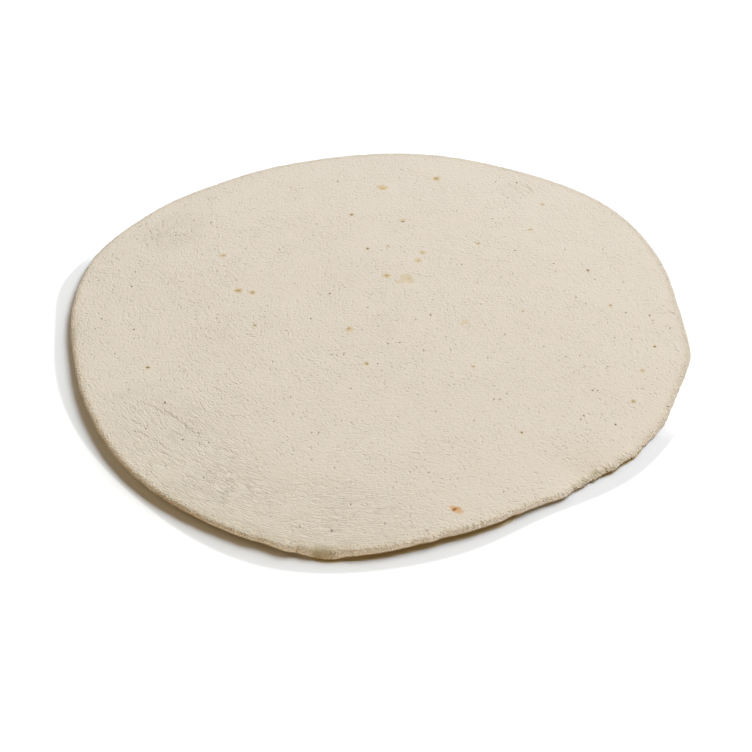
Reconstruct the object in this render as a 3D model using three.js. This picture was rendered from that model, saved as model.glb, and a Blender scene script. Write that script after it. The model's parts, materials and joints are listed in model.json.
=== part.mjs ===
// A thin, par-baked pizza base: one hand-stretched disc of pale dough, lying on its flat underside.
// Units are millimetres, +Z is up, and the origin is the middle of the bounding box's floor.
import * as THREE from 'three';

// Driving sizes
const MEAN_DIAMETER = 305;        // a twelve-inch base
const MIDDLE_THICKNESS = 4.6;     // of the dough, away from the rim
const RIM_THICKNESS = 3;          // of the edge, where nothing below makes it fatter
const RIM_DEPTH = 0.9;            // how far in the edge's rounding reaches
const RESTING_RADIUS = 78;        // inside this the underside lies flat
const DOUGH_COLOUR = '#dcd2c1';
const DOUGH_ROUGHNESS = 0.92;

// Spacing of the surface points
const RIM_POINTS = 312;
const BAND_POINTS = 220;          // round the inner side of the finely modelled band
const ROUNDING_STEPS = 8;
const EDGE_BAND = 36;             // the top is modelled finely this far in from the edge
const EDGE_SPACING = 6;
const TOP_SPACING = 7.5;
const UNDERSIDE_SPACING = 13;
const FEWEST_POINTS = 6;          // of the smallest ring
const RING_LEAD = 0.618;          // each ring is turned on from the last by this share of a step

// Places round the rim are in degrees from +X, turning towards +Y. Each swell is a smooth hump
// of the given half-width about its place, and a higher power flattens its top.

// How far the outline stands out of a true circle
const OUTLINE = [
  { name: 'right hollow', at: 3, width: 9, by: -1.9 },
  { name: 'right of the back shoulder', at: 22, width: 12, by: 1.3 },
  { name: 'back right shoulder', at: 38, width: 15, by: 5.3 },
  { name: 'back right edge', at: 65, width: 9, by: -0.5 },
  { name: 'back hollow', at: 106, width: 25, by: -5.4 },
  { name: 'back left hollow', at: 127, width: 9, by: -1.7 },
  { name: 'left shoulder', at: 161, width: 12, by: 3.2 },
  { name: 'left hollow', at: 194, width: 13, by: -3.8 },
  { name: 'left front hollow', at: 210, width: 9, by: -1.3 },
  { name: 'front left bulge', at: 234, width: 14, by: 2.6 },
  { name: 'front bulge', at: 254, width: 13, by: 4.7 },
  { name: 'left of the lump', at: 256.3, width: 2, by: 1.7 },
  { name: 'front lump', at: 261.6, width: 3.3, by: 2.2, power: 4 },
  { name: 'right of the lump', at: 267.5, width: 6, by: 2.5 },
  { name: 'start of the front right hollow', at: 282, width: 6, by: -1.7 },
  { name: 'front right hollow', at: 297, width: 12, by: -7.0 },
  { name: 'lip of the tear', at: 304.4, width: 1.8, by: 0.3 },
  { name: 'notch beside the lip', at: 306.8, width: 1.8, by: -1.1 },
  { name: 'torn edge', at: 311.8, width: 6.4, by: -4.0 },
  { name: 'end of the torn edge', at: 317.8, width: 1.8, by: -0.9 },
  { name: 'right of the torn edge', at: 323.5, width: 5, by: -2.2 },
  { name: 'right front hollow', at: 337, width: 8, by: -2.0 },
  { name: 'right tip', at: 349.5, width: 4, by: 1.2 },
];

// How far the edge has curled up off the surface that the base lies on
const CURL = [
  { name: 'left and front left', at: 214, width: 46, by: 2.8 },
  { name: 'front', at: 283, width: 20, by: 1.2 },
  { name: 'torn edge', at: 316, width: 6, by: 0.6 },
];

// Where the edge is fatter than elsewhere
const FATTER_RIM = [
  { name: 'right and back', at: 45, width: 80, by: 1.2 },
];

// Where the edge hangs down again, and where it is fatter or thinner, close to its end only
const LOCAL_REACH = 9;
const SAG = [
  { name: 'front lump', at: 262.5, width: 5.5, by: 1.2 },
];
const LOCALLY_FATTER = [
  { name: 'front lump', at: 262.5, width: 5.5, by: 1.3 },
  { name: 'torn edge', at: 309, width: 5, by: -0.7 },
  { name: 'torn edge and right', at: 322, width: 20, by: -1.5 },
];

// Where the edge's rounding reaches further in
const SOFTER_RIM = [
  { name: 'left', at: 185, width: 35, by: 3.2 },
  { name: 'front left', at: 235, width: 20, by: 0.8 },
  { name: 'front lump', at: 262, width: 5, by: 3 },
  { name: 'front', at: 280, width: 20, by: 0.4 },
  { name: 'torn edge', at: 309, width: 5, by: 2.2 },
  { name: 'torn edge and right', at: 322, width: 20, by: 2 },
];

// Where the edge is widest at its foot, as a share, and not half-way up
const FOOTED = [
  { name: 'front lump', at: 262, width: 5.5, by: 0.7 },
  { name: 'right', at: 335, width: 14, by: 0.8 },
];

// Crumbly stretches of the edge, over the slight crumbling that it has all round
const CRAGGY_ALL_ROUND = 0.35;
const CRAGGY_RIM = [
  { name: 'front', at: 280, width: 18, by: 0.6 },
  { name: 'torn edge', at: 312, width: 12, by: 1.3 },
];
const CRAG_WAVES = [
  { turns: 61, start: 0.4, height: 0.16 },
  { turns: 89, start: 2.1, height: 0.14 },
  { turns: 113, start: 4.4, height: 0.12 },
];

// Low, broad unevenness of the rolled top: wave length, heading and height
const ROLLED_WAVES = [
  { length: 74, heading: 20, start: 0.3, height: 0.09 },
  { length: 47, heading: 95, start: 1.9, height: 0.07 },
  { length: 33, heading: 150, start: 4.1, height: 0.05 },
  { length: 25, heading: 55, start: 2.6, height: 0.035 },
];

const TURN = 2 * Math.PI;
const RADIANS = Math.PI / 180;

// The sum of a list of swells at an angle in radians
function swell(list, angle) {
  let sum = 0;
  for (const { at, width, by, power = 2 } of list) {
    const away = Math.abs(THREE.MathUtils.euclideanModulo(angle / RADIANS - at + 180, 360) - 180);
    sum += by * Math.exp(-((away / width) ** power));
  }
  return sum;
}

// The sum of waves that go a whole number of turns round the rim
function roundWaves(list, angle) {
  let sum = 0;
  for (const { turns, start, height } of list) {
    sum += height * Math.sin(turns * angle + start);
  }
  return sum;
}

function crag(angle) {
  return roundWaves(CRAG_WAVES, angle) * (CRAGGY_ALL_ROUND + swell(CRAGGY_RIM, angle));
}

// Everything that depends only on the place round the rim
function rimAt(angle) {
  const outer = MEAN_DIAMETER / 2 + swell(OUTLINE, angle) + crag(angle);
  const depth = RIM_DEPTH + swell(SOFTER_RIM, angle);
  return {
    outer,
    depth,
    inner: outer - depth,
    thickness: RIM_THICKNESS + swell(FATTER_RIM, angle),
    curl: swell(CURL, angle),
    sag: swell(SAG, angle),
    fatter: swell(LOCALLY_FATTER, angle),
    foot: swell(FOOTED, angle),
  };
}

// From 0 where the underside lies flat to 1 where the edge's rounding starts
const outward = (rim, radius) => Math.max(0, (radius - RESTING_RADIUS) / (rim.inner - RESTING_RADIUS));

// 1 where the edge's rounding starts, fading out a little way in from it
const closeness = (rim, radius) => Math.exp(-(((rim.inner - radius) / LOCAL_REACH) ** 2));

function undersideHeight(rim, radius) {
  return Math.max(0, rim.curl * outward(rim, radius) ** 2 - rim.sag * closeness(rim, radius));
}

function rolledUnevenness(x, y) {
  let sum = 0;
  for (const { length, heading, start, height } of ROLLED_WAVES) {
    const across = x * Math.cos(heading * RADIANS) + y * Math.sin(heading * RADIANS);
    sum += height * Math.sin(TURN * across / length + start);
  }
  return sum;
}

function topHeight(rim, radius, angle) {
  const close = closeness(rim, radius);
  const rimLevel = rim.curl + rim.thickness;
  const level = THREE.MathUtils.lerp(MIDDLE_THICKNESS, rimLevel, outward(rim, radius) ** 2);
  const rolled = rolledUnevenness(radius * Math.cos(angle), radius * Math.sin(angle));
  return level + (rim.fatter - rim.sag) * close + rolled * (1 - close);
}

const leadOf = (number) => number * RING_LEAD % 1;

// A ring of points: place(angle, rim) gives the radius and height at each angle
function ring(count, lead, place) {
  const points = [];
  for (let i = 0; i < count; i++) {
    const angle = TURN * (i + lead) / count;
    const { radius, height } = place(angle, rimAt(angle));
    points.push(new THREE.Vector3(radius * Math.cos(angle), radius * Math.sin(angle), height));
  }
  return points;
}

const topRing = (count, lead, share) => ring(count, lead, (angle, rim) => {
  const radius = share * rim.inner;
  return { radius, height: topHeight(rim, radius, angle) };
});

const undersideRing = (count, lead, share) => ring(count, lead, (angle, rim) => {
  const radius = share * rim.inner;
  return { radius, height: undersideHeight(rim, radius) };
});

// The rounding, from the top at a turn of 0, over the widest point, to the underside at half a turn
const roundedRing = (lead, turn) => ring(RIM_POINTS, lead, (angle, rim) => {
  const underside = undersideHeight(rim, rim.inner);
  const thickness = topHeight(rim, rim.inner, angle) - underside;
  const widest = thickness / 2 * (1 - rim.foot);
  const reach = turn < Math.PI / 2 ? thickness - widest : widest;
  return {
    radius: rim.inner + rim.depth * Math.sin(turn),
    height: underside + widest + reach * Math.cos(turn),
  };
});

// The rings of the whole skin, from the middle of the top, over the edge, to the middle of the underside
function skinRings() {
  const rings = [];
  const meanRadius = MEAN_DIAMETER / 2;
  const bandStart = meanRadius - EDGE_BAND;
  const topSteps = Math.round(bandStart / TOP_SPACING);
  for (let i = 1; i <= topSteps; i++) {
    const share = i / topSteps * bandStart / meanRadius;
    const count = Math.max(FEWEST_POINTS, Math.round(TURN * share * meanRadius / TOP_SPACING));
    rings.push(topRing(count, leadOf(rings.length), share));
  }
  const bandSteps = Math.round(EDGE_BAND / EDGE_SPACING);
  for (let i = 1; i <= bandSteps; i++) {
    const share = (bandStart + i / bandSteps * EDGE_BAND) / meanRadius;
    const count = Math.round(THREE.MathUtils.lerp(BAND_POINTS, RIM_POINTS, i / bandSteps));
    rings.push(topRing(count, leadOf(rings.length), share));
  }
  for (let i = 1; i <= ROUNDING_STEPS; i++) {
    rings.push(roundedRing(leadOf(rings.length), Math.PI * i / ROUNDING_STEPS));
  }
  const undersideSteps = Math.round(meanRadius / UNDERSIDE_SPACING);
  for (let i = undersideSteps - 1; i >= 1; i--) {
    const share = i / undersideSteps;
    const count = Math.max(FEWEST_POINTS, Math.round(TURN * share * meanRadius / UNDERSIDE_SPACING));
    rings.push(undersideRing(count, leadOf(rings.length), share));
  }
  return rings;
}

// Joins two neighbouring rings by a strip of triangles, stepping round whichever is behind
function joinRings(first, second, triangles) {
  let a = 0;
  let b = 0;
  while (a < first.count || b < second.count) {
    const nextFirst = (a + 1 + first.lead) / first.count;
    const nextSecond = (b + 1 + second.lead) / second.count;
    const here = first.start + a % first.count;
    const there = second.start + b % second.count;
    if (b >= second.count || (a < first.count && nextFirst <= nextSecond)) {
      a += 1;
      triangles.push(here, there, first.start + a % first.count);
    } else {
      b += 1;
      triangles.push(here, there, second.start + b % second.count);
    }
  }
}

// Closes the skin's first or last ring with a fan about one middle point
function closeMiddle(edge, middle, facesUp, triangles) {
  for (let i = 0; i < edge.count; i++) {
    const here = edge.start + i;
    const next = edge.start + (i + 1) % edge.count;
    triangles.push(middle, ...(facesUp ? [here, next] : [next, here]));
  }
}

function doughGeometry() {
  const rings = skinRings();
  const points = rings.flat();
  const spans = [];
  let start = 0;
  for (const { length: count } of rings) {
    spans.push({ start, count, lead: leadOf(spans.length) });
    start += count;
  }
  const topMiddle = points.push(new THREE.Vector3(0, 0, topHeight(rimAt(0), 0, 0))) - 1;
  const undersideMiddle = points.push(new THREE.Vector3(0, 0, 0)) - 1;
  const triangles = [];
  closeMiddle(spans[0], topMiddle, true, triangles);
  for (let i = 1; i < spans.length; i++) {
    joinRings(spans[i - 1], spans[i], triangles);
  }
  closeMiddle(spans[spans.length - 1], undersideMiddle, false, triangles);

  const geometry = new THREE.BufferGeometry().setFromPoints(points);
  geometry.setIndex(triangles);
  geometry.computeBoundingBox();
  const middle = geometry.boundingBox.getCenter(new THREE.Vector3());
  geometry.translate(-middle.x, -middle.y, 0);
  geometry.computeVertexNormals();
  return geometry;
}

const dough = new THREE.MeshStandardMaterial({
  color: DOUGH_COLOUR,
  roughness: DOUGH_ROUGHNESS,
  metalness: 0,
});

const base = new THREE.Mesh(doughGeometry(), dough);
base.name = 'pizza_base';

const object = new THREE.Group();
object.add(base);

export default object;
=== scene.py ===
import json
import math
from functools import cache

import bpy
import numpy as np
from bpy.props import FloatProperty, FloatVectorProperty, PointerProperty
from bpy.types import Operator, Panel, PropertyGroup
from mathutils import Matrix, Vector
from mathutils.bvhtree import BVHTree

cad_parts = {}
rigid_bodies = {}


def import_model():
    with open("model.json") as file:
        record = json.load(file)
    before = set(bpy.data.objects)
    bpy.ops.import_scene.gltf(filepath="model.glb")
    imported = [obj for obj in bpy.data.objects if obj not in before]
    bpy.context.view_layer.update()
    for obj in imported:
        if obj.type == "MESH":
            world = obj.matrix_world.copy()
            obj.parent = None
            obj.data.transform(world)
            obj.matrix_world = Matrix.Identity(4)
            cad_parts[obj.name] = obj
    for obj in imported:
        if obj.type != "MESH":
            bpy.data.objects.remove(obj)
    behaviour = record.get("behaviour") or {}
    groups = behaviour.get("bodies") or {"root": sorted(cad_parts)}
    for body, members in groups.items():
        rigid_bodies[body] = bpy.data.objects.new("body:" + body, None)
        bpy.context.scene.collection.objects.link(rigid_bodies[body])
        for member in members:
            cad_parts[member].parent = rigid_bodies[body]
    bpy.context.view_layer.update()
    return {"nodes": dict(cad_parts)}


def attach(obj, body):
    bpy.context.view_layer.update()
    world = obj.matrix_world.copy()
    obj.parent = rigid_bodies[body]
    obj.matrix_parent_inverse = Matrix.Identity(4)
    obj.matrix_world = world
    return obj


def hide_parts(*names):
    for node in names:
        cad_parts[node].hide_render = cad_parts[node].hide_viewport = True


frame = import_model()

bl_info = {
    "name": "Pizza base",
    "version": (1, 0, 0),
    "blender": (4, 5, 0),
    "location": "3D View > Sidebar > Pizza base",
    "description": "A thin par-baked pizza base, with its floor, light and camera",
    "category": "Add Mesh",
}

NODE = "pizza_base"
MM = 0.001
WHITE = (1.0, 1.0, 1.0, 1.0)
BLACK = (0.0, 0.0, 0.0, 1.0)

# The photograph's view: picture in pixels, lens and sensor in mm, the rest in metres and radians
PICTURE = 752
LENS = 70.0
SENSOR = 36.0
AIM = Vector((-0.00005, -0.03651, 0.0))
DISTANCE = 0.6942
ELEVATION = math.radians(41.0)

# Middle of the outline, in mm, from which its radius is measured
MIDDLE_X = 0.52
MIDDLE_Y = 4.20
MEAN_RADIUS = 152.5
OUTLINE_STEPS = 360

# The floor: its width in metres, how far it and the deep shade lie below the dough in mm, and its
# glow
FLOOR_WIDTH = 2.0
FLOOR_DROP = 0.02
SHADE_DROP = 0.01
FLOOR_GLOW = 0.06

# A painted shadow makes it light grey near the dough on its shaded side: which side that is and
# how far it reaches to each side in degrees, where it fades there, its radius and half the width of
# its edge in mm
SHADED_SIDE = 245.0
SHADED_HALF = 86.0
SHADED_FADE = (-5.0, 2.0)
GREY_RADIUS = 158.0
GREY_EDGE = 1.0

# Where the painted shadow reaches further out: degrees from the shaded side, half width in
# degrees, mm
GREY_SWELLS = [(-76.0, 10.0, 6.0), (9.0, 20.0, 9.5), (54.0, 13.0, -7.0)]

# The painted deep shade, a brown sheet on the floor under the front: middle and half width in
# degrees, mm beyond the outline
SHADES = [(277.0, 16.0, 1.0), (317.0, 5.0, 0.2)]

# Within how many degrees it ends, and how far inside the outline it then lies, in mm
SHADE_TAPER = 5.0
SHADE_HIDDEN = 7.0

# The sides, in degrees, towards which the rim's front face is lightened by painted light, its upper
# edge dulled by painted shade and its lower edge browned by painted shade, and the way in which
# painted shade makes the skin darker and warmer
PAINT_LIT_SIDE = 280.0
DULL_SHADE_SIDE = 250.0
BROWN_SHADE_SIDE = 220.0
SHADE_GRADIENT_X, SHADE_GRADIENT_Y = -0.35, -0.94

# The lights: how far away they stand, in metres
LIGHT_DISTANCE = 4.5

# Their names, direction from +X and height in degrees, half width and half height in degrees,
# brightness of a white floor in each, and colour
LIGHTS = [
    ("key", 42.0, 49.0, (24.0, 11.0), 0.724, (0.866, 0.935, 1.0)),
    ("low key", 42.0, 31.0, (14.0, 10.0), 0.17, (0.98, 0.97, 1.0)),
    ("back", 85.0, 32.0, (28.0, 16.0), 0.11, (0.72, 0.88, 1.0)),
    ("left", 154.0, 36.0, (18.0, 14.0), 0.115, (1.0, 0.8, 0.54)),
    ("front", 268.0, 14.0, (15.0, 9.0), 0.104, (1.0, 0.67, 0.29)),
]

# Tan flecks: pixel of the photograph, half length and half width in mm, turn in degrees, and tone
# from 0 to 1
FLECKS = [
    ((456, 509), (2.5, 1.5), -31, 0.75),
    ((406, 277), (3.0, 3.0), 0, 0.34),
    ((399, 281), (2.2, 1.6), 10, 0.3),
    ((410, 281), (1.6, 1.5), 20, 0.42),
    ((386, 275), (2.0, 1.5), -15, 0.5),
    ((418, 260), (1.9, 1.7), 0, 0.42),
    ((422, 252), (1.8, 1.9), 0, 0.42),
    ((382, 187), (2.6, 2.2), 0, 0.55),
    ((436, 178), (2.0, 2.0), 0, 0.55),
    ((238, 290), (2.1, 1.7), 0, 0.5),
    ((252, 292), (1.8, 1.5), 20, 0.4),
    ((222, 255), (1.5, 1.5), 0, 0.45),
    ((254, 325), (1.0, 1.0), 0, 0.35),
    ((349, 329), (1.7, 1.9), -30, 0.4),
    ((366, 363), (1.2, 1.2), 0, 0.4),
    ((464, 322), (2.2, 2.0), 40, 0.27),
    ((478, 243), (1.2, 1.1), 0, 0.42),
    ((530, 229), (1.2, 1.0), 0, 0.35),
    ((542, 204), (1.1, 1.1), 0, 0.38),
    ((642, 370), (0.9, 1.2), 0, 0.28),
    ((633, 401), (1.1, 1.1), 0, 0.4),
    ((473, 366), (1.0, 1.0), 0, 0.32),
    ((351, 214), (1.3, 1.2), 0, 0.42),
    ((402, 220), (1.5, 1.3), 20, 0.42),
    ((367, 248), (1.2, 1.0), 0, 0.38),
    ((387, 246), (1.1, 0.9), 0, 0.35),
    ((147, 367), (1.2, 1.1), 0, 0.35),
    ((588, 270), (1.1, 1.1), 0, 0.2),
    ((610, 305), (1.0, 1.0), 0, 0.4),
    ((521, 432), (1.0, 1.0), 0, 0.35),
    ((522, 310), (1.1, 0.8), 0, 0.35),
    ((654, 346), (1.1, 1.0), 0, 0.3),
]

# Their toasted cores, in the same way
CORES = [
    ((454, 509), (1.25, 0.65), 40, 0.95),
    ((460, 511), (0.6, 0.5), 0, 0.2),
    ((408, 278), (0.7, 0.7), 0, 0.35),
    ((386, 275), (1.1, 0.8), -15, 0.5),
    ((418, 260), (0.7, 0.7), 0, 0.45),
    ((422, 252), (0.9, 0.8), 0, 0.25),
    ((382, 188), (1.2, 0.8), 0, 0.3),
    ((436, 178), (1.2, 1.0), 0, 0.5),
    ((238, 290), (1.3, 1.0), 0, 0.55),
    ((252, 292), (1.0, 0.9), 20, 0.65),
    ((223, 255), (0.8, 0.7), 0, 0.5),
    ((254, 325), (0.7, 0.7), 0, 0.65),
    ((348, 328), (0.9, 0.8), -30, 0.5),
    ((366, 363), (0.8, 0.8), 0, 0.65),
    ((478, 243), (0.7, 0.7), 0, 0.6),
    ((530, 229), (0.8, 0.6), 0, 0.5),
    ((542, 204), (0.7, 0.7), 0, 0.55),
    ((642, 370), (0.6, 0.9), 0, 0.5),
    ((633, 401), (0.8, 0.8), 0, 0.7),
    ((473, 366), (0.7, 0.7), 0, 0.55),
    ((351, 214), (0.8, 0.7), 0, 0.5),
    ((403, 221), (0.8, 0.6), 0, 0.5),
    ((367, 248), (0.7, 0.6), 0, 0.45),
    ((147, 367), (0.8, 0.7), 0, 0.3),
    ((588, 270), (0.7, 0.7), 0, 0.2),
    ((610, 305), (0.7, 0.6), 0, 0.4),
    ((521, 432), (0.6, 0.7), 0, 0.35),
    ((654, 346), (0.8, 0.7), 0, 0.35),
]

# Dull stains, partly painted shade, on the lump at the front, in the dimples of the torn edge and
# along the left rim, in the same way
STAINS_AND_SHADE = [
    ((322, 554), (6.0, 4.0), 0, 0.8),
    ((574, 488), (2.3, 1.7), 30, 0.6),
    ((584, 481), (3.0, 2.3), 35, 0.75),
    ((595, 473), (3.2, 2.5), 35, 0.75),
    ((608, 469), (2.8, 1.9), 30, 0.7),
    ((620, 459), (2.6, 1.9), 30, 0.55),
    ((74, 334), (2.2, 14.0), 0, 0.35),
]

# Pinholes left by gas bubbles: pixels of the photograph
LARGE_PORES = [
    (147, 367), (587, 270), (329, 293), (654, 346), (615, 424), (182, 439), (367, 248),
    (351, 214), (133, 329), (131, 286), (430, 314), (164, 402), (402, 221), (331, 530), (337, 181),
    (516, 182), (649, 315), (210, 222),
]
PORES = [
    (114, 353), (101, 318), (111, 262), (279, 249), (128, 389), (145, 428), (165, 465), (203, 477),
    (290, 396), (331, 354), (343, 354), (350, 504), (334, 467), (311, 432), (318, 432), (273, 421),
    (361, 329), (625, 312), (492, 218), (456, 210), (419, 199), (400, 169), (514, 250), (555, 271),
    (553, 263), (602, 249), (564, 249), (594, 279), (445, 336), (450, 349), (543, 346), (565, 356),
    (579, 355), (504, 334), (575, 297), (585, 303), (564, 290), (500, 277), (461, 264),
    (614, 337), (631, 339), (669, 328), (487, 357), (423, 350), (607, 366), (592, 390), (597, 390),
    (506, 393), (493, 399), (499, 399), (583, 415), (580, 419), (473, 420), (503, 491), (426, 530),
    (610, 305), (522, 311), (521, 432), (387, 245), (208, 442), (367, 307), (350, 388), (415, 319),
    (272, 361), (507, 197), (399, 342), (310, 318), (183, 371), (175, 235), (377, 363), (118, 270),
    (217, 314), (387, 343), (428, 472), (294, 283), (299, 526), (453, 384), (435, 411), (384, 523),
    (193, 220), (495, 181), (652, 320), (668, 406),
]

# Wrinkled patches: pixel of the middle, half length and half width in mm, turn in degrees, strength
WRINKLED = [
    ((182, 440), (58, 34), -42, 1.0),
    ((300, 512), (75, 30), -6, 1.0),
    ((172, 232), (26, 20), 55, 0.8),
    ((512, 190), (15, 11), -20, 0.7),
]

# Single creases in the skin: pixels of the photograph at the start, the middle and the end, and
# strength
CREASES = [
    ((139, 401), (159, 409), (179, 420), 1.0),
    ((182, 424), (191, 431), (201, 435), 0.9),
    ((152, 438), (160, 444), (172, 452), 0.9),
    ((174, 458), (179, 460), (185, 463), 0.7),
    ((171, 430), (177, 433), (184, 437), 0.7),
    ((218, 447), (228, 450), (236, 455), 0.6),
    ((191, 459), (196, 461), (201, 463), 0.6),
    ((211, 387), (215, 388), (220, 391), 0.6),
    ((145, 415), (150, 420), (156, 425), 0.6),
    ((204, 468), (209, 471), (214, 475), 0.5),
    ((160, 412), (165, 415), (170, 416), 0.6),
    ((188, 421), (193, 424), (198, 427), 0.5),
    ((194, 441), (200, 444), (206, 447), 0.7),
    ((140, 433), (144, 435), (149, 437), 0.7),
    ((214, 449), (217, 449), (221, 450), 0.6),
    ((228, 457), (232, 458), (236, 459), 0.6),
    ((194, 460), (198, 462), (203, 464), 0.5),
    ((203, 477), (207, 480), (211, 483), 0.5),
    ((244, 466), (247, 467), (251, 469), 0.5),
    ((169, 224), (173, 231), (176, 236), 0.6),
    ((176, 236), (182, 235), (189, 232), 0.8),
    ((190, 227), (190, 230), (191, 232), 0.5),
    ((149, 230), (150, 232), (151, 235), 0.6),
    ((149, 236), (151, 238), (152, 240), 0.8),
    ((144, 243), (146, 245), (147, 247), 0.6),
    ((155, 241), (156, 244), (157, 246), 0.6),
    ((161, 220), (162, 223), (162, 227), 0.6),
    ((525, 184), (528, 188), (532, 192), 0.9),
    ((500, 192), (503, 195), (504, 197), 0.5),
    ((513, 186), (516, 189), (517, 192), 0.5),
    ((520, 183), (522, 186), (524, 188), 0.5),
    ((666, 309), (669, 312), (676, 315), 0.8),
    ((162, 409), (171, 414), (180, 421), 1.0),
    ((178, 419), (184, 425), (191, 431), 0.9),
    ((156, 449), (165, 454), (175, 459), 0.6),
    ((131, 420), (137, 423), (145, 428), 0.6),
    ((131, 431), (136, 431), (141, 433), 0.6),
    ((253, 511), (263, 514), (274, 517), 0.7),
    ((287, 526), (296, 527), (306, 529), 0.6),
    ((330, 447), (335, 447), (341, 447), 0.5),
    ((347, 487), (350, 487), (354, 487), 0.5),
    ((365, 522), (369, 523), (374, 523), 0.5),
]

# The single creases: width and waver to each side in mm, two speeds of the waver in radians from
# end to end, points along each, and how they taper to their ends
CREASE_WIDTH = 0.2
CREASE_WAVER = 0.5
WAVER_SPEEDS = (31.0, 13.0)
CREASE_POINTS = 60
CREASE_START = 0.08
CREASE_TAPER = 0.7

# Folds across the rim: angle in degrees about the outline's middle, width, depth and reach inwards
# in mm
RIM_FOLDS = [
    (257.7, 0.7, 1.0, 2.5),
    (260.6, 0.5, 0.2, 3.0),
    (262.8, 0.5, 0.2, 3.0),
    (305.9, 0.6, 0.4, 2.5),
    (310.0, 0.6, 0.3, 4.0),
    (313.4, 0.6, 0.3, 4.0),
    (317.0, 0.5, 0.3, 3.0),
]

# Crumbly stretches of the rim: angle, half width in degrees, strength
CRUMBLY = [
    (185.0, 22.0, 0.5),
    (230.0, 24.0, 0.9),
    (262.0, 6.0, 0.6),
    (282.0, 20.0, 1.0),
    (313.0, 10.0, 1.0),
]

# How far in from the outline the crumbling reaches, in mm
CRUMBLY_REACH = 4.5

# Points of the solid that lie closer than this, in mm, are one
MERGE_GAP = 0.01

# The rounds that split the mesh where it shows: gap to a mark and width of a crease, in mm
SPLITS = [(1.2, 1.8), (0.8, 1.1), (0.35, 0.6)]

# The weakest crease or crumbling that is split, and the width of the rim in mm
FAINTEST = 0.15
RIM_WIDTH = 7.0

# How far upwards a face's normal points: at least, on the top, on its level part and on the rim,
# and at most, on the underside
TOP_FACING = 0.3
LEVEL_FACING = 0.9
RIM_FACING = -0.8
UNDER_FACING = -0.7

# How far inside the outline the underside is thinned and the top is smoothed, in mm, the share of
# the underside's faces that is left, and how often the top and the rim are smoothed
THINNED_INSIDE = 8.0
SMOOTHED_INSIDE = 5.0
UNDERSIDE_SHARE = 0.08
TOP_ROUNDS = 30
RIM_ROUNDS = 2

# The skin's patterns: size in mm and seed
SKIN_WAVES = (4.5, 0.0)
SKIN_PATCHES = (28.0, 3.1)
GRAIN = (1.0, 1.0)
GRAIN_PATCHES = (11.0, 8.3)
PITS = (1.5, 7.0)
CRACKS = (2.4, 12.0)
CRACK_PATCHES = (7.0, 2.0)
LOOSE_CRUMBS = (1.2, 21.0)
MOTTLE = (26.0, 4.0)
TOASTED = (13.0, 31.0)
RAGGED = (2.0, 6.0)

# Those that are stretched: length and width in mm and seed
RIM_CRUMBS = (2.6, 1.5, 2.0)
WRINKLES = (8.0, 1.0, 15.0)

# The two layers of grain lie this far to each side along the rim, in mm
GRAIN_SHIFT = 0.3

# Width of the cracks and the wrinkles, as a share of the noise that they come from
LINE_WIDTH = 0.16

# How much rougher the grain grows for each mm to the left, and how much is lost in wrinkled skin
ROUGHER_LEFT = 0.001
SMOOTHER_WRINKLED = 0.3

# Strength of the skin's tints, some of them painted shade
MOTTLE_TINT = 0.2
RIM_TINT = 0.12
DULL_SHADE_TINT = 0.18
TOASTED_TINT = 0.45
FLECK_TINT = 1.3
CREASE_SHADE_TINT = 0.16
PORE_SHADE_TINT = 0.85

# The dough's finish
ROUGHNESS = 0.92
SPECULAR = 0.2


class Field:
    """A value in a node tree. Python's operators on it add the Math nodes."""

    def __init__(self, sheet, socket):
        self.sheet = sheet
        self.socket = socket

    def output(self, name):
        """Another output of the node that this value comes from."""
        return Field(self.sheet, self.socket.node.outputs[name])

    def math(self, operation, *others):
        """This value and the others through one Math node."""
        return self.sheet.math(operation, self, *others)

    def __add__(self, other):
        return self.math("ADD", other)

    def __radd__(self, other):
        return self.sheet.math("ADD", other, self)

    def __sub__(self, other):
        return self.math("SUBTRACT", other)

    def __rsub__(self, other):
        return self.sheet.math("SUBTRACT", other, self)

    def __mul__(self, other):
        return self.math("MULTIPLY", other)

    def __rmul__(self, other):
        return self.sheet.math("MULTIPLY", other, self)

    def __truediv__(self, other):
        return self.math("DIVIDE", other)

    def __rtruediv__(self, other):
        return self.sheet.math("DIVIDE", other, self)

    def __pow__(self, other):
        return self.math("POWER", other)

    def __abs__(self):
        return self.math("ABSOLUTE")

    def rise(self, start, end):
        """0 below start, 1 above end, and smooth between them."""
        return self.sheet.node(
            "ShaderNodeMapRange",
            {"interpolation_type": "SMOOTHSTEP"},
            {"Value": self, "From Min": start, "From Max": end},
        )

    def fall(self, start, end):
        """1 below start, 0 above end, and smooth between them."""
        return 1.0 - self.rise(start, end)


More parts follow.
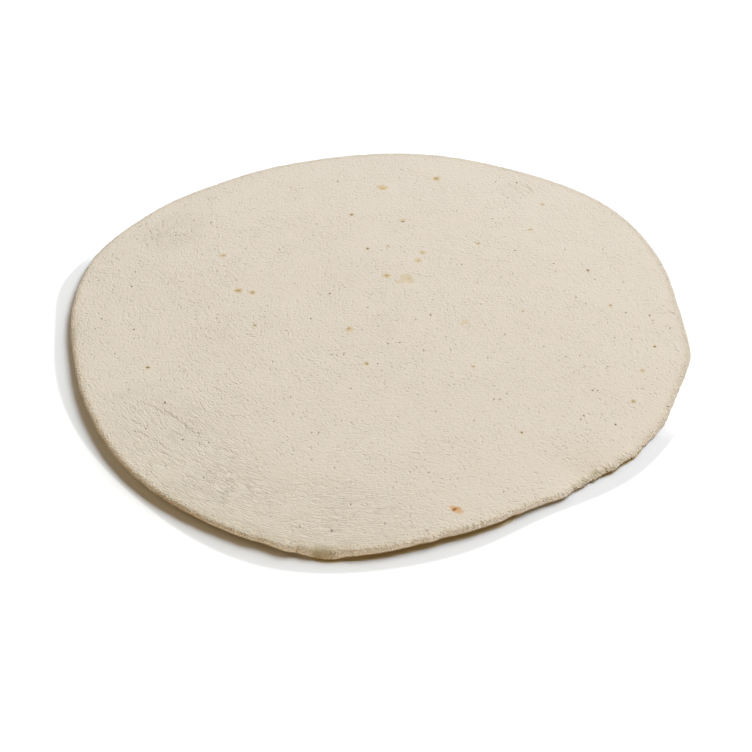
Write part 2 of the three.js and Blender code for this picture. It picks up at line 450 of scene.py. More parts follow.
class Sheet:
    """A node tree that is being filled in."""

    def __init__(self, tree):
        self.tree = tree

    def node(self, kind, settings=None, sockets=None, give=0):
        """Adds a node with its settings and its sockets' values or links, and gives an output."""
        node = self.tree.nodes.new(kind)
        for name, value in (settings or {}).items():
            setattr(node, name, value)
        for name, value in (sockets or {}).items():
            if isinstance(value, Field):
                self.tree.links.new(value.socket, node.inputs[name])
            else:
                node.inputs[name].default_value = value
        return Field(self, node.outputs[give]) if len(node.outputs) else None

    def math(self, operation, *values):
        """One Math node."""
        return self.node("ShaderNodeMath", {"operation": operation}, dict(enumerate(values)))

    def vector(self, x, y, z):
        """A vector from three values."""
        return self.node("ShaderNodeCombineXYZ", None, {"X": x, "Y": y, "Z": z})

    def mix(self, factor, first, second):
        """A colour between two colours."""
        sockets = {0: factor, 6: first, 7: second}
        return self.node("ShaderNodeMix", {"data_type": "RGBA"}, sockets, give=2)

    def noise(self, place, detail=0.0, roughness=0.5):
        """Noise from about -1 to 1 on a place whose unit is the noise's own size."""
        sockets = {"Vector": place, "Scale": 1.0, "Detail": detail, "Roughness": roughness}
        return (self.node("ShaderNodeTexNoise", None, sockets) - 0.5) * 2.0

    def attribute(self, name):
        """A value that the dough's points carry, in shading or in geometry."""
        if self.tree.type == "SHADER":
            return self.node("ShaderNodeAttribute", {"attribute_name": name}, None, give="Fac")
        return self.node("GeometryNodeInputNamedAttribute", {"data_type": "FLOAT"}, {"Name": name})


class Place:
    """The places on the dough that its patterns are laid out by, in mm."""

    def __init__(self, sheet, position):
        self.sheet = sheet
        split = sheet.node("ShaderNodeSeparateXYZ", None, {0: position})
        self.x = split * (1 / MM)
        self.y = split.output("Y") * (1 / MM)
        self.z = split.output("Z") * (1 / MM)
        self.rim = sheet.attribute("rim_gap")
        x = self.x - MIDDLE_X
        y = self.y - MIDDLE_Y
        self.radius = (x * x + y * y) ** 0.5
        self.outward_x = x / self.radius
        self.outward_y = y / self.radius

    def plan(self, size, seed, shift=0.0):
        """Noise place seen from above, in units of size, shifted along the rim by some mm."""
        x = self.x - self.outward_y * shift
        y = self.y + self.outward_x * shift
        return self.sheet.vector(x / size + seed, y / size, self.z / size)

    def rings(self, length, width, seed):
        """Noise place that is stretched along the rim, without a seam."""
        around = MEAN_RADIUS / length
        x = self.outward_x * around
        y = self.outward_y * around
        return self.sheet.vector(x, y, self.radius / width + seed)

    def spokes(self, length, width, seed):
        """Noise place that is stretched from the rim inwards, without a seam."""
        around = MEAN_RADIUS / width
        x = self.outward_x * around
        y = self.outward_y * around
        return self.sheet.vector(x, y, self.rim / length + seed)

    def facing(self, side):
        """1 straight towards a side, in degrees about the outline's middle, and less elsewhere."""
        turn = math.radians(side)
        return self.outward_x * math.cos(turn) + self.outward_y * math.sin(turn)

    def wrinkled(self):
        """How wrinkled the skin is, from 0 to about 1 in the middle of the wrinkled patches."""
        amount = 0.0
        for pixel, (half_length, half_width), turn, strength in WRINKLED:
            middle_x, middle_y = on_dough(pixel)
            along = math.radians(turn)
            x = self.x - middle_x
            y = self.y - middle_y
            u = (x * math.cos(along) + y * math.sin(along)) / half_length
            v = (y * math.cos(along) - x * math.sin(along)) / half_width
            amount = amount + (u * u + v * v).fall(0.15, 1.0) * strength
        return amount


class DoughSettings(PropertyGroup):
    """Sizes and colours of the dough that a user would change."""

    grain: FloatProperty(
        name="Grain", description="Side of the squares that the skin's mesh starts from",
        default=1.78 * MM, unit="LENGTH",
    )
    skin_depth: FloatProperty(
        name="Skin depth", description="Height of the skin's soft unevenness",
        default=0.09 * MM, unit="LENGTH",
    )
    wrinkle_depth: FloatProperty(
        name="Wrinkle depth", description="Depth of the fine wrinkles where the dough was pulled",
        default=0.22 * MM, unit="LENGTH",
    )
    crease_depth: FloatProperty(
        name="Crease depth", description="Depth of the single creases",
        default=0.46 * MM, unit="LENGTH",
    )
    crumb_depth: FloatProperty(
        name="Crumb depth", description="Depth of the crumbling along the rim",
        default=0.3 * MM, unit="LENGTH",
    )
    crinkle_depth: FloatProperty(
        name="Crinkle depth", description="Depth of the finest crinkles of the dry skin",
        default=0.25 * MM, unit="LENGTH",
    )
    pore_depth: FloatProperty(
        name="Pore depth", description="Depth of the pinholes",
        default=0.6 * MM, unit="LENGTH",
    )
    pore_radius: FloatProperty(
        name="Pore radius", description="Half the width of a small pinhole",
        default=0.42 * MM, unit="LENGTH",
    )
    large_pore_radius: FloatProperty(
        name="Large pore radius", description="Half the width of a large pinhole",
        default=0.55 * MM, unit="LENGTH",
    )
    cream: FloatVectorProperty(
        name="Cream", description="Colour of the dry skin",
        default=(0.690, 0.610, 0.518), subtype="COLOR", size=3, min=0.0, max=1.0,
    )
    # Painted shade: the skin towards the front, painted darker and warmer, away from the lights
    shaded_cream: FloatVectorProperty(
        name="Warm cream", description="Colour of the skin towards the front, where it is warmer",
        default=(0.681, 0.604, 0.496), subtype="COLOR", size=3, min=0.0, max=1.0,
    )
    tan: FloatVectorProperty(
        name="Tan", description="Colour of a fleck",
        default=(0.60, 0.445, 0.205), subtype="COLOR", size=3, min=0.0, max=1.0,
    )
    amber: FloatVectorProperty(
        name="Amber", description="Colour of the strongest fleck",
        default=(0.63, 0.395, 0.19), subtype="COLOR", size=3, min=0.0, max=1.0,
    )
    toast: FloatVectorProperty(
        name="Toast", description="Colour of a fleck's core",
        default=(0.33, 0.21, 0.065), subtype="COLOR", size=3, min=0.0, max=1.0,
    )
    char: FloatVectorProperty(
        name="Char", description="Colour of the darkest core",
        default=(0.335, 0.118, 0.036), subtype="COLOR", size=3, min=0.0, max=1.0,
    )
    # Partly painted shade: colour of the stains, also laid as shade on the lump, the dimples and
    # the rim
    stain_and_painted_shade: FloatVectorProperty(
        name="Stain", description="Colour of the dull stains on the rim",
        default=(0.46, 0.41, 0.28), subtype="COLOR", size=3, min=0.0, max=1.0,
    )
    # Painted light: the colour that lightens the rim's front face, which the lamps leave in shade
    painted_rim_light: FloatVectorProperty(
        name="Flour", description="Colour of the floury rim at the front",
        default=(0.80, 0.78, 0.74), subtype="COLOR", size=3, min=0.0, max=1.0,
    )
    # Partly painted shade: the underside's baked colour, also laid on the lower rim as shade
    bake: FloatVectorProperty(
        name="Bake", description="Colour of the underside, which baked from below",
        default=(0.40, 0.33, 0.24), subtype="COLOR", size=3, min=0.0, max=1.0,
    )
    # Painted shade: the dark colour laid in the creases and the pinholes
    painted_hollow_shade: FloatVectorProperty(
        name="Hole", description="Colour in the pinholes",
        default=(0.15, 0.085, 0.035), subtype="COLOR", size=3, min=0.0, max=1.0,
    )


class StageSettings(PropertyGroup):
    """Light and floor that a user would change."""

    light: FloatProperty(
        name="Light", description="Brightness of all the lights together",
        default=1.0, min=0.0,
    )
    dome_light: FloatProperty(
        name="Dome light",
        description="Brightness of a white floor in the faint light from all round",
        default=0.01, min=0.0,
    )
    # Painted shadow: the floor's light grey on the dough's shaded side
    floor_painted_shadow: FloatVectorProperty(
        name="Floor", description="Colour of the floor round the dough",
        default=(0.78, 0.78, 0.78), subtype="COLOR", size=3, min=0.0, max=1.0,
    )
    # Painted shade: colour of the brown sheet under the dough's curled front
    floor_shade: FloatVectorProperty(
        name="Deep shade", description="Colour of the floor under the dough's curled front",
        default=(0.68, 0.59, 0.42), subtype="COLOR", size=3, min=0.0, max=1.0,
    )
    floor_white: FloatVectorProperty(
        name="Far floor", description="Colour of the floor further out",
        default=(0.97, 0.97, 0.97), subtype="COLOR", size=3, min=0.0, max=1.0,
    )


def eye():
    """Where the camera stands."""
    return AIM + DISTANCE * Vector((0.0, -math.cos(ELEVATION), math.sin(ELEVATION)))


@cache
def solid_faces():
    """The solid's faces, ready to be hit by rays."""
    mesh = frame["nodes"][NODE].data
    return BVHTree.FromPolygons([v.co for v in mesh.vertices], [p.vertices for p in mesh.polygons])


@cache
def on_dough(pixel):
    """The place on the dough, in mm from above, that shows in a pixel of the photograph."""
    focal = PICTURE * LENS / SENSOR
    across = (pixel[0] + 0.5 - PICTURE / 2) / focal
    upward = (PICTURE / 2 - pixel[1] - 0.5) / focal
    ahead = Vector((0.0, math.cos(ELEVATION), -math.sin(ELEVATION)))
    above = Vector((0.0, math.sin(ELEVATION), math.cos(ELEVATION)))
    ray = ahead + upward * above + Vector((across, 0.0, 0.0))
    point = solid_faces().ray_cast(eye(), ray)[0]
    if point is None:
        raise ValueError(f"No dough shows in pixel {pixel}")
    return point.x / MM, point.y / MM


def points_of(piece):
    """The piece's points, in mm."""
    points = np.empty(len(piece.data.vertices) * 3)
    piece.data.vertices.foreach_get("co", points)
    return points.reshape(-1, 3) / MM


def faces_of(piece, what):
    """Each face's centre or normal."""
    values = np.empty(len(piece.data.polygons) * 3)
    piece.data.polygons.foreach_get(what, values)
    return values.reshape(-1, 3)


def about_middle(points):
    """Each point's angle and distance from the outline's middle, in radians and mm."""
    x = points[:, 0] - MIDDLE_X
    y = points[:, 1] - MIDDLE_Y
    return np.arctan2(y, x), np.hypot(x, y)


def outline_radius(angles):
    """The outline's radius in mm at each angle about its middle, read from the solid."""
    angle, radius = about_middle(points_of(frame["nodes"][NODE]))
    step = np.floor((angle / math.tau) % 1.0 * OUTLINE_STEPS).astype(int)
    reach = np.zeros(OUTLINE_STEPS)
    np.maximum.at(reach, step, radius)
    middles = (np.arange(OUTLINE_STEPS) + 0.5) / OUTLINE_STEPS * math.tau
    return np.interp(angles % math.tau, middles, reach, period=math.tau)


def rim_gap(points):
    """How far each point lies inside the outline, in mm."""
    angle, radius = about_middle(points)
    return outline_radius(angle) - radius


def degrees_from(angle, place):
    """How far each angle in radians lies from a place round the rim, in degrees."""
    return (np.degrees(angle) - place + 180.0) % 360.0 - 180.0


def spot_gap(points, spots):
    """Distance in mm from each point to the edge of its nearest spot, and which spot that is."""
    nearest = np.full(len(points), np.inf)
    which = np.zeros(len(points), int)
    for index, (middle, half_sizes, turn) in enumerate(spots):
        x = points[:, 0] - middle[0]
        y = points[:, 1] - middle[1]
        u = (x * math.cos(turn) + y * math.sin(turn)) / half_sizes[0]
        v = (y * math.cos(turn) - x * math.sin(turn)) / half_sizes[1]
        gap = (np.hypot(u, v) - 1.0) * min(half_sizes)
        closer = gap < nearest
        nearest[closer] = gap[closer]
        which[closer] = index
    return nearest, which


def crease_depth(points, width):
    """How deep each point lies in the single creases, from 0 beside them to 1."""
    deepest = np.zeros(len(points))
    fast, slow = WAVER_SPEEDS
    for number, (*pixels, strength) in enumerate(CREASES):
        start, middle, end = (np.array(on_dough(pixel)) for pixel in pixels)
        for share in np.linspace(0.0, 1.0, CREASE_POINTS):
            bend = 2.0 * share * (1.0 - share)
            spot = start * (1.0 - share - bend / 2.0) + middle * bend + end * (share - bend / 2.0)
            waver = math.sin(fast * share + number) * math.sin(slow * share + 2.0 * number)
            x, y = spot + CREASE_WAVER * waver
            gap = np.hypot(points[:, 0] - x, points[:, 1] - y) / width
            along = CREASE_START + (1.0 - 2.0 * CREASE_START) * share
            taper = strength * math.sin(math.pi * along) ** CREASE_TAPER
            deepest = np.maximum(deepest, taper * np.exp(-gap * gap))
    return deepest


def fold_depth(points):
    """How deep each point lies in the folds across the rim, in mm."""
    angle = about_middle(points)[0]
    gap = rim_gap(points)
    depth = np.zeros(len(points))
    for place, width, deep, reach in RIM_FOLDS:
        across = np.radians(degrees_from(angle, place)) * MEAN_RADIUS / width
        depth = np.maximum(depth, deep * np.exp(-across * across - (gap / reach) ** 2))
    return depth


def crumbliness(points):
    """How crumbly the rim is at each point, from 0 to 1."""
    angle = about_middle(points)[0]
    amount = np.zeros(len(points))
    for place, width, strength in CRUMBLY:
        amount += strength * np.exp(-(degrees_from(angle, place) / width) ** 2)
    return np.minimum(amount, 1.0) * np.exp(-(rim_gap(points) / CRUMBLY_REACH) ** 2)


def spots_of(marks):
    """Flecks, cores, or stains with their painted shade, as spots in mm."""
    return [
        (on_dough(pixel), half_sizes, math.radians(turn)) for pixel, half_sizes, turn, _ in marks]


def pore_spots(settings):
    """The pinholes as round spots in mm."""
    small = settings.pore_radius / MM
    large = settings.large_pore_radius / MM
    sized = [(pixel, small) for pixel in PORES] + [(pixel, large) for pixel in LARGE_PORES]
    return [(on_dough(pixel), (radius, radius), 0.0) for pixel, radius in sized]


def select_faces(piece, chosen):
    """Opens the piece in edit mode with only the chosen faces selected."""
    bpy.ops.object.mode_set(mode="OBJECT")
    bpy.context.tool_settings.mesh_select_mode = (False, False, True)
    mesh = piece.data
    mesh.vertices.foreach_set("select", np.zeros(len(mesh.vertices), bool))
    mesh.edges.foreach_set("select", np.zeros(len(mesh.edges), bool))
    mesh.polygons.foreach_set("select", chosen)
    bpy.ops.object.mode_set(mode="EDIT")


def copy_of_solid(name):
    """A copy of the solid's mesh on its own, with its loose triangles merged."""
    bpy.ops.object.select_all(action="DESELECT")
    solid = frame["nodes"][NODE]
    solid.select_set(True)
    bpy.context.view_layer.objects.active = solid
    bpy.ops.object.duplicate()
    piece = bpy.context.object
    bpy.ops.object.parent_clear(type="CLEAR_KEEP_TRANSFORM")
    piece.name = name
    piece.data.name = name
    for key in list(piece.keys()):
        del piece[key]
    piece.data.materials.clear()
    bpy.ops.object.mode_set(mode="EDIT")
    bpy.ops.mesh.select_all(action="SELECT")
    bpy.ops.mesh.remove_doubles(threshold=MERGE_GAP * MM)
    bpy.ops.object.mode_set(mode="OBJECT")
    return piece


def thin_underside(piece):
    """Makes the hidden underside's mesh coarser, away from the rim."""
    normals = faces_of(piece, "normal")
    gaps = rim_gap(faces_of(piece, "center") / MM)
    select_faces(piece, (normals[:, 2] < UNDER_FACING) & (gaps > THINNED_INSIDE))
    bpy.ops.mesh.decimate(ratio=UNDERSIDE_SHARE)
    bpy.ops.object.mode_set(mode="OBJECT")


def refine(piece, chosen):
    """Splits the chosen faces once."""
    select_faces(piece, chosen)
    bpy.ops.mesh.subdivide(number_cuts=1, ngon=False)
    bpy.ops.object.mode_set(mode="OBJECT")


def refine_where_it_shows(piece, settings):
    """Gives the rim, the creases and the small marks a finer mesh, the smallest the finest."""
    dots = pore_spots(settings) + spots_of(CORES)
    spots = spots_of(FLECKS + STAINS_AND_SHADE) + dots
    for fineness, (mark_gap, crease_width) in enumerate(SPLITS):
        centres = faces_of(piece, "center") / MM
        upward = faces_of(piece, "normal")[:, 2]
        marked = crease_depth(centres, crease_width) > FAINTEST
        if fineness == 0:
            marked |= spot_gap(centres, spots)[0] < mark_gap
            rim = rim_gap(centres) < RIM_WIDTH
        elif fineness == 1:
            marked |= spot_gap(centres, spots)[0] < mark_gap
            rim = crumbliness(centres) > FAINTEST
        else:
            marked |= spot_gap(centres, dots)[0] < mark_gap
            rim = np.zeros(len(centres), bool)
        refine(piece, (upward > TOP_FACING) & marked | (upward > RIM_FACING) & rim)


def draw_onto_solid(piece):
    """Draws the points back onto the solid's faces, which the coarse mesh cuts across."""
    bpy.ops.object.modifier_add(type="SHRINKWRAP")
    modifier = piece.modifiers[-1]
    modifier.wrap_method = "NEAREST_SURFACEPOINT"
    modifier.target = frame["nodes"][NODE]
    bpy.ops.object.modifier_apply(modifier=modifier.name)


def smooth_faces(piece, chosen, times):
    """Evens out the chosen faces."""
    select_faces(piece, chosen)
    bpy.ops.mesh.vertices_smooth(factor=0.5, repeat=times)
    bpy.ops.object.mode_set(mode="OBJECT")


def smooth_skin(piece):
    """Takes the solid's flat facets out of the top, and a little of them out of the rim."""
    upward = faces_of(piece, "normal")[:, 2]
    gaps = rim_gap(faces_of(piece, "center") / MM)
    smooth_faces(piece, (upward > LEVEL_FACING) & (gaps > SMOOTHED_INSIDE), TOP_ROUNDS)
    smooth_faces(piece, gaps < RIM_WIDTH, RIM_ROUNDS)


def write_points(piece, name, values):
    """Gives every point of the piece a value that patterns read by name."""
    attribute = piece.data.attributes.new(name, "FLOAT", "POINT")
    attribute.data.foreach_set("value", values.astype(np.float32))


def mark_points(piece, settings):
    """Writes what the patterns need to know about each point: gaps in mm, amounts from 0 to 1."""
    points = points_of(piece)
    write_points(piece, "rim_gap", rim_gap(points))
    for name, marks in (("fleck", FLECKS), ("core", CORES), ("stain_and_painted_shade", STAINS_AND_SHADE)):
        gap, which = spot_gap(points, spots_of(marks))
        write_points(piece, name + "_gap", gap)
        write_points(piece, name + "_tone", np.array([mark[3] for mark in marks])[which])
    write_points(piece, "pore_gap", spot_gap(points, pore_spots(settings))[0])
    write_points(piece, "crease", crease_depth(points, CREASE_WIDTH))
    write_points(piece, "fold", fold_depth(points))
    write_points(piece, "crumbly", crumbliness(points))


def lines(sheet, place):
    """1 along thin lines and 0 beside them."""
    return abs(sheet.noise(place, 1.0)).fall(0.0, LINE_WIDTH)


def coarse_relief(sheet, place, settings):
    """Height of the relief that the mesh carries, in mm."""
    patchy = sheet.noise(place.plan(*SKIN_PATCHES)).rise(-0.5, 0.4)
    height = sheet.noise(place.plan(*SKIN_WAVES), 1.0) * patchy * (settings.skin_depth / MM)
    crumbs = abs(sheet.noise(place.spokes(*RIM_CRUMBS), 1.0)) * 4.0 - 1.0
    height = height + sheet.attribute("crumbly") * crumbs * (settings.crumb_depth / MM)
    height = height - sheet.attribute("crease") * (settings.crease_depth / MM)
    height = height - sheet.attribute("fold")
    return height - sheet.attribute("pore_gap").fall(-0.3, 0.1) * (settings.pore_depth / MM)


def shape_relief(piece, settings):
    """Raises and sinks the skin by its relief, as an applied modifier."""
    tree = bpy.data.node_groups.new("Dough relief", "GeometryNodeTree")
    tree.interface.new_socket("Dough", in_out="INPUT", socket_type="NodeSocketGeometry")
    tree.interface.new_socket("Dough", in_out="OUTPUT", socket_type="NodeSocketGeometry")
    sheet = Sheet(tree)
    dough = sheet.node("NodeGroupInput")
    normal = sheet.node("GeometryNodeInputNormal")
    upright = sheet.node("ShaderNodeSeparateXYZ", None, {0: normal}).output("Z")
    place = Place(sheet, sheet.node("GeometryNodeInputPosition"))
    height = coarse_relief(sheet, place, settings) * upright.rise(-0.4, 0.3) * MM
    sockets = {0: normal, "Scale": height}
    offset = sheet.node("ShaderNodeVectorMath", {"operation": "SCALE"}, sockets)
    raised = sheet.node("GeometryNodeSetPosition", None, {"Geometry": dough, "Offset": offset})
    sheet.node("NodeGroupOutput", None, {0: raised})
    bpy.ops.object.modifier_add(type="NODES")
    modifier = piece.modifiers[-1]
    modifier.node_group = tree
    bpy.ops.object.modifier_apply(modifier=modifier.name)
    bpy.data.node_groups.remove(tree)


def fine_relief(sheet, place, settings):
    """Height of the relief that is finer than the mesh, in mm."""
    patchy = sheet.noise(place.plan(*GRAIN_PATCHES), 1.0).rise(-0.45, 0.4) * 0.4 + 0.52
    wrinkled = place.wrinkled()
    patchy = patchy * (1.0 - place.x * ROUGHER_LEFT) * (1.0 - wrinkled * SMOOTHER_WRINKLED)
    layers = [
        sheet.noise(place.plan(*GRAIN, shift), 2.0, 0.6) for shift in (GRAIN_SHIFT, -GRAIN_SHIFT)]
    grain = layers[0] + layers[1]
    pits = sheet.noise(place.plan(*PITS), 1.0).rise(0.15, 0.6)
    height = (grain * 0.6 - pits * 1.5) * patchy
    broken = sheet.noise(place.plan(*CRACK_PATCHES), 1.0).rise(-0.1, 0.4)
    cracks = lines(sheet, place.plan(*CRACKS))
    height = height - cracks * patchy * (broken * 0.25 + 0.12)
    crumbs = abs(sheet.noise(place.plan(*LOOSE_CRUMBS), 1.0)) * 4.0
    height = (height + crumbs * place.rim.fall(0.5, 4.0)) * (settings.crinkle_depth / MM)
    wrinkles = lines(sheet, place.rings(*WRINKLES))
    return height - wrinkles * wrinkled * (broken * 0.3 + 0.6) * (settings.wrinkle_depth / MM)


def empty_sheet(thing):
    """A material's or world's node tree with nothing in it."""
    thing.use_nodes = True
    thing.node_tree.nodes.clear()
    return Sheet(thing.node_tree)


def dough_material(settings):
    """Dry, matte, cream dough with toasted flecks, a browner underside and painted light and shade.
    """
    material = bpy.data.materials.new("Dough")
    sheet = empty_sheet(material)
    place = Place(sheet, sheet.node("ShaderNodeTexCoord", None, None, give="Object"))
    cream, shaded_cream, tan, amber, toast, char, stain_and_painted_shade, painted_rim_light, bake, painted_hollow_shade = (
        (*colour, 1.0) for colour in (
            settings.cream, settings.shaded_cream, settings.tan, settings.amber, settings.toast,
            settings.char, settings.stain_and_painted_shade, settings.painted_rim_light, settings.bake, settings.painted_hollow_shade))

    # Painted shade: the skin grows darker and warmer towards the front, away from the lights
    painted_falloff = (place.x * SHADE_GRADIENT_X + place.y * SHADE_GRADIENT_Y) * (0.5 / MEAN_RADIUS) + 0.5
    mottle = sheet.noise(place.plan(*MOTTLE), 2.0) * MOTTLE_TINT
    colour = sheet.mix(painted_falloff + mottle, cream, shaded_cream)
    normal = sheet.node("ShaderNodeNewGeometry", None, None, give="Normal")
    upward = sheet.node("ShaderNodeSeparateXYZ", None, {0: normal}).output("Z")
    colour = sheet.mix(place.rim.fall(1.0, 6.0) * RIM_TINT, colour, tan)
    # Painted shade: a dull tint on the rim's upper edge, on the side away from the lights
    dull = place.facing(DULL_SHADE_SIDE).rise(0.9, 0.98) * place.rim.fall(2.0, 10.0)
    colour = sheet.mix(dull * DULL_SHADE_TINT, colour, stain_and_painted_shade)
    # Painted light: the rim's front face is lightened where the lamps leave it in shade
    paint_lit = place.facing(PAINT_LIT_SIDE).rise(0.72, 0.9)
    paint_lit = paint_lit * upward.fall(0.5, 0.92) * upward.rise(-1.2, 0.6)
    colour = sheet.mix(paint_lit, colour, painted_rim_light)
    # The underside's baked colour, and painted shade up the lower rim, reaching highest on the
    # front-left side
    browned_and_shaded = upward - place.facing(BROWN_SHADE_SIDE).rise(0.9, 0.98) * 0.5
    colour = sheet.mix(browned_and_shaded.fall(-0.45, 0.2), colour, bake)
    toasted = sheet.noise(place.plan(*TOASTED), 3.0).rise(-0.1, 0.5) * upward.fall(-0.97, -0.85)
    colour = sheet.mix(toasted * TOASTED_TINT, colour, toast)
    ragged = sheet.noise(place.plan(*RAGGED), 2.0)
    # Stains, partly real and partly painted shade on the lump's face, in the torn edge's dimples
    # and on the left rim
    stained_and_shaded = (sheet.attribute("stain_and_painted_shade_gap") + ragged * 1.2).fall(-2.0, 0.8)
    colour = sheet.mix(stained_and_shaded * sheet.attribute("stain_and_painted_shade_tone"), colour, stain_and_painted_shade)
    fleck = (sheet.attribute("fleck_gap") + ragged).fall(-0.6, 1.0)
    fleck_tone = sheet.attribute("fleck_tone")
    fleck_colour = sheet.mix(fleck_tone.rise(0.6, 0.7), tan, amber)
    colour = sheet.mix(fleck * fleck_tone * FLECK_TINT, colour, fleck_colour)
    core = (sheet.attribute("core_gap") + ragged * 0.3).fall(-0.4, 0.4)
    core_tone = sheet.attribute("core_tone")
    core_colour = sheet.mix(core_tone.rise(0.7, 0.9), toast, char)
    colour = sheet.mix(core * core_tone, colour, core_colour)
    # Painted shade: the creases and pinholes are darkened where shade falls in them
    colour = sheet.mix(sheet.attribute("crease") * CREASE_SHADE_TINT, colour, painted_hollow_shade)
    painted_pore_shade = sheet.attribute("pore_gap").fall(-0.25, 0.05)
    colour = sheet.mix(painted_pore_shade * PORE_SHADE_TINT, colour, painted_hollow_shade)

    bump = sheet.node("ShaderNodeBump", None, {
        "Strength": 1.0, "Distance": MM, "Height": fine_relief(sheet, place, settings)})
    shader = sheet.node("ShaderNodeBsdfPrincipled", None, {
        "Base Color": colour, "Roughness": ROUGHNESS, "Normal": bump,
        "Specular IOR Level": SPECULAR})
    sheet.node("ShaderNodeOutputMaterial", None, {"Surface": shader})
    return material


def floor_material(settings):
    """Matte floor with a painted grey shadow on the dough's shaded side, white and glowing beyond.
    """
    material = bpy.data.materials.new("Floor")
    sheet = empty_sheet(material)
    position = sheet.node("ShaderNodeTexCoord", None, None, give="Object")
    split = sheet.node("ShaderNodeSeparateXYZ", None, {0: position})
    x = split * (1 / MM) - MIDDLE_X
    y = split.output("Y") * (1 / MM) - MIDDLE_Y
    facing = math.radians(SHADED_SIDE)
    ahead = x * math.cos(facing) + y * math.sin(facing)
    aside = y * math.cos(facing) - x * math.sin(facing)
    angle = aside.math("ARCTAN2", ahead) * math.degrees(1.0)
    reach = GREY_RADIUS
    for place, width, by in GREY_SWELLS:
        away = (angle - place) / width
        reach = reach + by * (away * away * -1.0).math("EXPONENT")
    near = ((x * x + y * y) ** 0.5 - reach).fall(-GREY_EDGE, GREY_EDGE)
    fade_start, fade_end = (SHADED_HALF + by for by in SHADED_FADE)
    # Painted shadow: light grey on the dough's shaded side; beyond it the floor is white and glows
    painted_shadow = near * abs(angle).fall(fade_start, fade_end)
    colour = sheet.mix(painted_shadow, (*settings.floor_white, 1.0), (*settings.floor_painted_shadow, 1.0))
    shader = sheet.node("ShaderNodeBsdfPrincipled", None, {
        "Base Color": colour, "Roughness": 1.0, "Specular IOR Level": 0.0,
        "Emission Color": sheet.mix(painted_shadow, WHITE, BLACK), "Emission Strength": FLOOR_GLOW})
    sheet.node("ShaderNodeOutputMaterial", None, {"Surface": shader})
    return material


def shade_material(settings):
    """Plain matte brown, painted as shade on the floor under the dough's curled front."""
    material = bpy.data.materials.new("Deep shade")
    sheet = empty_sheet(material)
    shader = sheet.node("ShaderNodeBsdfPrincipled", None, {
        "Base Color": (*settings.floor_shade, 1.0), "Roughness": 1.0, "Specular IOR Level": 0.0})
    sheet.node("ShaderNodeOutputMaterial", None, {"Surface": shader})
    return material


def add_shade(settings):
    """A sheet of painted shade on the floor that comes out from under the dough only at the front.
    """
    bpy.ops.mesh.primitive_circle_add(vertices=OUTLINE_STEPS, fill_type="NGON")
    sheet = bpy.context.object
    sheet.name = "deep shade"
    angles = np.arange(OUTLINE_STEPS) / OUTLINE_STEPS * math.tau
    beyond = np.full(OUTLINE_STEPS, -SHADE_HIDDEN)
    for place, half_width, by in SHADES:
        inside = half_width - np.abs(degrees_from(angles, place))
        share = np.clip(1.0 + inside / SHADE_TAPER, 0.0, 1.0)
        beyond = np.maximum(beyond, by * share - SHADE_HIDDEN * (1.0 - share))
    reach = outline_radius(angles) + beyond
    x = MIDDLE_X + reach * np.cos(angles)
    y = MIDDLE_Y + reach * np.sin(angles)
    points = np.stack([x, y, np.full(OUTLINE_STEPS, -SHADE_DROP)], axis=1)
    sheet.data.vertices.foreach_set("co", points.ravel() * MM)
    sheet.data.update()
    sheet.data.materials.append(shade_material(settings))


def white_dome(settings):
    """A world that is white to look at and gives only a faint light."""
    world = bpy.data.worlds.new("Dome")
    sheet = empty_sheet(world)
    looked_at = sheet.node("ShaderNodeLightPath", None, None, give="Is Camera Ray")
    strength = looked_at.math("MAXIMUM", settings.dome_light)
    dome = sheet.node("ShaderNodeBackground", None, {"Color": WHITE, "Strength": strength})
    sheet.node("ShaderNodeOutputWorld", None, {"Surface": dome})
    return world


def aim_at(thing, target):
    """Turns a light or camera towards a point."""
    thing.rotation_euler = (target - thing.location).to_track_quat("-Z", "Y").to_euler()


def add_light(name, azimuth, elevation, half_angles, brightness, colour):
    """An oval light that faces the dough, with its direction and half sizes in degrees."""
    turn = math.radians(azimuth)
    rise = math.radians(elevation)
    level = math.cos(rise)
    direction = Vector((math.cos(turn) * level, math.sin(turn) * level, math.sin(rise)))
    half_width, half_height = (
        LIGHT_DISTANCE * math.tan(math.radians(angle)) for angle in half_angles)
    spread = half_width * half_height + LIGHT_DISTANCE ** 2
    bpy.ops.object.light_add(type="AREA", location=direction * LIGHT_DISTANCE)
    light = bpy.context.object
    light.name = name
    light.data.shape = "ELLIPSE"
    light.data.size = 2.0 * half_width
    light.data.size_y = 2.0 * half_height
    light.data.energy = brightness * math.pi ** 2 * spread / math.sin(rise)
    light.data.color = colour
    aim_at(light, Vector((0.0, 0.0, 0.0)))


class OBJECT_OT_pizza_base_dough(Operator):
    """Models the dough from its solid and gives it its finish"""

    bl_idname = "object.pizza_base_dough"
    bl_label = "Dough"

    def execute(self, context):
        settings = context.scene.pizza_base_dough
        dough = copy_of_solid("dough")
        dough.data.remesh_voxel_size = settings.grain
        bpy.ops.object.voxel_remesh()
        thin_underside(dough)
        refine_where_it_shows(dough, settings)
        draw_onto_solid(dough)
        smooth_skin(dough)
        mark_points(dough, settings)
        shape_relief(dough, settings)
        bpy.ops.object.shade_smooth()
        dough.data.materials.append(dough_material(settings))
        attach(dough, "root")
        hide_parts(NODE)
        return {"FINISHED"}


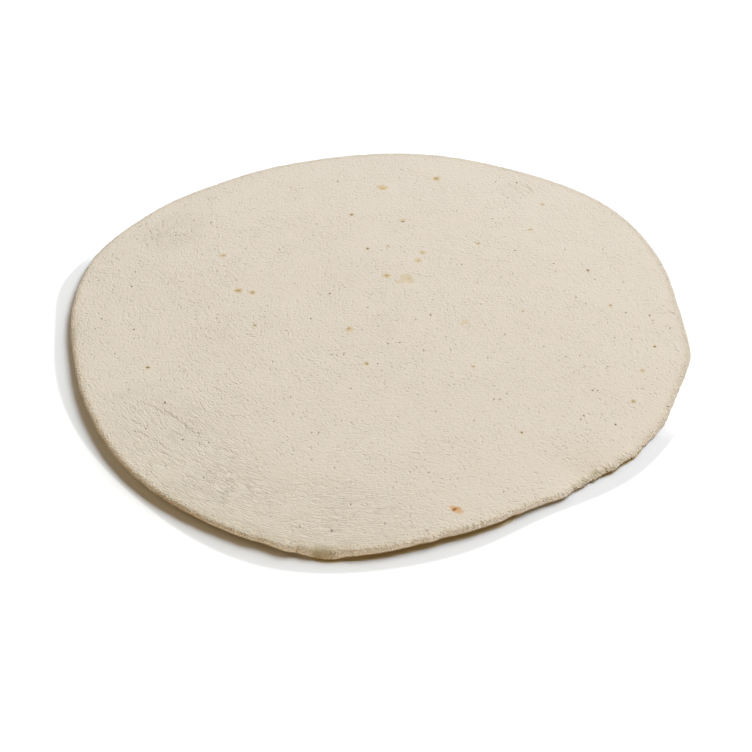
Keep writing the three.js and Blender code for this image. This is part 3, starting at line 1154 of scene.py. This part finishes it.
class OBJECT_OT_pizza_base_stage(Operator):
    """Adds the floor with its painted shadow and shade, the lights and the camera"""

    bl_idname = "object.pizza_base_stage"
    bl_label = "Stage"

    def execute(self, context):
        settings = context.scene.pizza_base_stage
        bpy.ops.object.select_all(action="DESELECT")
        bpy.ops.mesh.primitive_plane_add(
            size=FLOOR_WIDTH, location=(0.0, 0.0, -FLOOR_DROP * MM))
        floor = bpy.context.object
        floor.name = "floor"
        floor.data.materials.append(floor_material(settings))
        add_shade(settings)

        for name, azimuth, elevation, half_angles, brightness, colour in LIGHTS:
            add_light(name, azimuth, elevation, half_angles, brightness * settings.light, colour)
        context.scene.world = white_dome(settings)

        bpy.ops.object.camera_add(location=eye())
        camera = bpy.context.object
        camera.name = "camera"
        camera.data.lens = LENS
        camera.data.sensor_width = SENSOR
        aim_at(camera, AIM)
        context.scene.camera = camera
        context.scene.view_settings.view_transform = "Standard"
        return {"FINISHED"}


class VIEW3D_PT_pizza_base(Panel):
    """Lists the operators and their settings in the sidebar"""

    bl_idname = "VIEW3D_PT_pizza_base"
    bl_label = "Pizza base"
    bl_space_type = "VIEW_3D"
    bl_region_type = "UI"
    bl_category = "Pizza base"

    def draw(self, context):
        for operator in (OBJECT_OT_pizza_base_dough, OBJECT_OT_pizza_base_stage):
            self.layout.operator(operator.bl_idname)
        for settings in (context.scene.pizza_base_dough, context.scene.pizza_base_stage):
            for name in settings.__annotations__:
                self.layout.prop(settings, name)


CLASSES = (
    DoughSettings,
    StageSettings,
    OBJECT_OT_pizza_base_dough,
    OBJECT_OT_pizza_base_stage,
    VIEW3D_PT_pizza_base,
)


def register():
    for each in CLASSES:
        bpy.utils.register_class(each)
    bpy.types.Scene.pizza_base_dough = PointerProperty(type=DoughSettings)
    bpy.types.Scene.pizza_base_stage = PointerProperty(type=StageSettings)


def unregister():
    del bpy.types.Scene.pizza_base_stage
    del bpy.types.Scene.pizza_base_dough
    for each in reversed(CLASSES):
        bpy.utils.unregister_class(each)


def main():
    """Builds the dough and its stage."""
    register()
    bpy.ops.object.pizza_base_dough()
    bpy.ops.object.pizza_base_stage()


if __name__ == "__main__":
    main()
